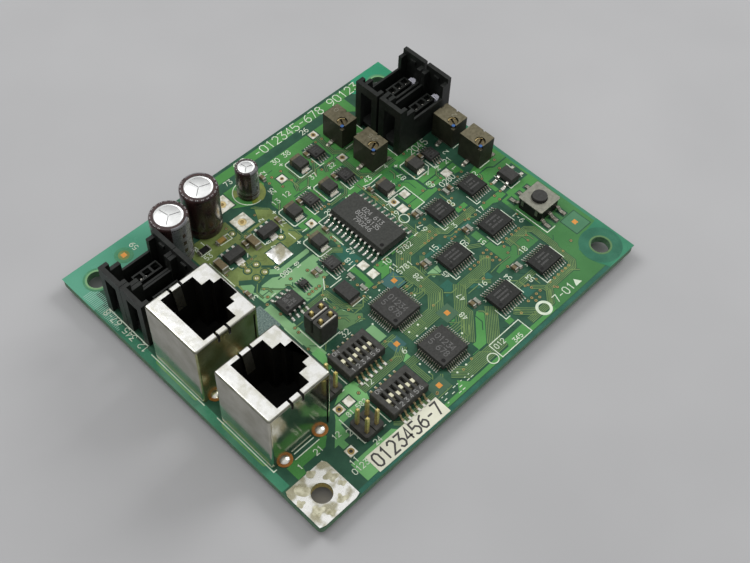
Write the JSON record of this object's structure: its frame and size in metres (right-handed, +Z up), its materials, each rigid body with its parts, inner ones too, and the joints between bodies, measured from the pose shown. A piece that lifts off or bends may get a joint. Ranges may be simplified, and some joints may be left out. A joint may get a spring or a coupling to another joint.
{
  "type": "printed circuit board",
  "caption": "Populated green circuit board with top-entry network jacks, shrouded wire connectors, chips, trimmers, setting switches, jumpers and a push button.",
  "frame": {"origin": "under the middle of the board, on the plane of the lead ends on its solder side", "axes": "+X along the long edge, from the network jacks towards the push button; +Y towards the edge with the wire connectors; +Z up, out of the component side"},
  "size_m": [0.09, 0.075, 0.0207],
  "materials": {
    "laminate": "woven glass laminate under green mask",
    "solder_mask": "green lacquer over copper",
    "silkscreen": "printed ink",
    "solder": "bright solder",
    "gold_plating": "plated contacts and copper",
    "jack_steel": "bright plated sheet",
    "black_plastic": "moulded",
    "chip_epoxy": "fine moulded grain",
    "tantalum_epoxy": "moulded",
    "lead_tin": "tin plated",
    "capacitor_film": "shrunk film",
    "capacitor_can": "drawn can",
    "trimmer_shell": "dull moulded case",
    "trimmer_metal": "slotted screw",
    "pale_plastic": "cream sliders",
    "key_plastic": "light coding keys",
    "ceramic_brown": "fired ceramic",
    "resistor_body": "glazed chip",
    "cover_steel": "stamped cover",
    "paper": "printed sticker"
  },
  "bodies": {
    "board": {"circuit_board": "laminate", "jack_1_shield": "jack_steel", "jack_1_insert": "black_plastic", "jack_2_shield": "jack_steel", "jack_2_insert": "black_plastic", "jack_contacts": "gold_plating", "power_connector_1": "black_plastic", "power_connector_2": "black_plastic", "signal_connector_1": "black_plastic", "signal_connector_2": "black_plastic", "coding_keys": "key_plastic", "connector_contacts": "lead_tin", "large_capacitors": "capacitor_can", "large_capacitor_sleeves": "capacitor_film", "small_capacitor": "capacitor_can", "small_capacitor_sleeve": "capacitor_film", "trimmers": "trimmer_shell", "slide_switch_1": "black_plastic", "slide_switch_2": "black_plastic", "tact_base": "black_plastic", "tact_cover": "cover_steel", "pin_headers": "black_plastic", "header_pins": "gold_plating", "tantalum_capacitors": "tantalum_epoxy", "chip_capacitors": "ceramic_brown", "chip_resistors": "resistor_body", "ceramic_capacitors": "ceramic_brown", "paper_label": "paper", "soic_24": "chip_epoxy", "soic_8": "chip_epoxy", "qfp_48": "chip_epoxy", "tssop_20": "chip_epoxy", "tssop_16": "chip_epoxy", "tssop_14": "chip_epoxy", "msop_8": "chip_epoxy", "mini_6": "chip_epoxy", "regulators": "chip_epoxy", "bridge_rectifier": "chip_epoxy", "oscillator": "chip_epoxy"},
    "screw_1": {"trimmer_screw_1": "trimmer_metal"},
    "screw_2": {"trimmer_screw_2": "trimmer_metal"},
    "screw_3": {"trimmer_screw_3": "trimmer_metal"},
    "screw_4": {"trimmer_screw_4": "trimmer_metal"},
    "slider_1_1": {"slider_1_1": "pale_plastic"},
    "slider_1_2": {"slider_1_2": "pale_plastic"},
    "slider_1_3": {"slider_1_3": "pale_plastic"},
    "slider_1_4": {"slider_1_4": "pale_plastic"},
    "slider_1_5": {"slider_1_5": "pale_plastic"},
    "slider_1_6": {"slider_1_6": "pale_plastic"},
    "slider_2_1": {"slider_2_1": "pale_plastic"},
    "slider_2_2": {"slider_2_2": "pale_plastic"},
    "slider_2_3": {"slider_2_3": "pale_plastic"},
    "slider_2_4": {"slider_2_4": "pale_plastic"},
    "slider_2_5": {"slider_2_5": "pale_plastic"},
    "slider_2_6": {"slider_2_6": "pale_plastic"},
    "button": {"tact_button": "black_plastic"},
    "jumper_1": {"shunt_1": "black_plastic", "shunt_clip_1": "lead_tin"},
    "jumper_2": {"shunt_2": "black_plastic", "shunt_clip_2": "lead_tin"}
  },
  "joints": [
    {"name": "screw_1_turn", "type": "hinge", "parent": "board", "child": "screw_1", "pos_m": [0.02125, 0.0252, 0.009], "axis": [0, 0, 1], "continuous": true},
    {"name": "screw_2_turn", "type": "hinge", "parent": "board", "child": "screw_2", "pos_m": [0.02125, 0.0157, 0.009], "axis": [0, 0, 1], "continuous": true},
    {"name": "screw_3_turn", "type": "hinge", "parent": "board", "child": "screw_3", "pos_m": [0.03875, 0.0087, 0.009], "axis": [0, 0, 1], "continuous": true},
    {"name": "screw_4_turn", "type": "hinge", "parent": "board", "child": "screw_4", "pos_m": [0.03855, 0.00065, 0.009], "axis": [0, 0, 1], "continuous": true},
    {"name": "slider_1_1_slide", "type": "slide", "parent": "board", "child": "slider_1_1", "axis": [0, 1, 0], "range_m": [-0.0006, 0]},
    {"name": "slider_1_2_slide", "type": "slide", "parent": "board", "child": "slider_1_2", "axis": [0, 1, 0], "range_m": [0, 0.0006]},
    {"name": "slider_1_3_slide", "type": "slide", "parent": "board", "child": "slider_1_3", "axis": [0, 1, 0], "range_m": [0, 0.0006]},
    {"name": "slider_1_4_slide", "type": "slide", "parent": "board", "child": "slider_1_4", "axis": [0, 1, 0], "range_m": [-0.0006, 0]},
    {"name": "slider_1_5_slide", "type": "slide", "parent": "board", "child": "slider_1_5", "axis": [0, 1, 0], "range_m": [0, 0.0006]},
    {"name": "slider_1_6_slide", "type": "slide", "parent": "board", "child": "slider_1_6", "axis": [0, 1, 0], "range_m": [0, 0.0006]},
    {"name": "slider_2_1_slide", "type": "slide", "parent": "board", "child": "slider_2_1", "axis": [0, 1, 0], "range_m": [0, 0.0006]},
    {"name": "slider_2_2_slide", "type": "slide", "parent": "board", "child": "slider_2_2", "axis": [0, 1, 0], "range_m": [-0.0006, 0]},
    {"name": "slider_2_3_slide", "type": "slide", "parent": "board", "child": "slider_2_3", "axis": [0, 1, 0], "range_m": [0, 0.0006]},
    {"name": "slider_2_4_slide", "type": "slide", "parent": "board", "child": "slider_2_4", "axis": [0, 1, 0], "range_m": [-0.0006, 0]},
    {"name": "slider_2_5_slide", "type": "slide", "parent": "board", "child": "slider_2_5", "axis": [0, 1, 0], "range_m": [0, 0.0006]},
    {"name": "slider_2_6_slide", "type": "slide", "parent": "board", "child": "slider_2_6", "axis": [0, 1, 0], "range_m": [0, 0.0006]},
    {"name": "button_press", "type": "slide", "parent": "board", "child": "button", "axis": [0, 0, -1], "range_m": [0, 0.00025], "stiffness_N_per_m": 2000},
    {"name": "jumper_1_lift", "type": "slide", "parent": "board", "child": "jumper_1", "axis": [0, 0, 1], "range_m": [0, 0.006]},
    {"name": "jumper_2_lift", "type": "slide", "parent": "board", "child": "jumper_2", "axis": [0, 0, 1], "range_m": [0, 0.006]}
  ]
}
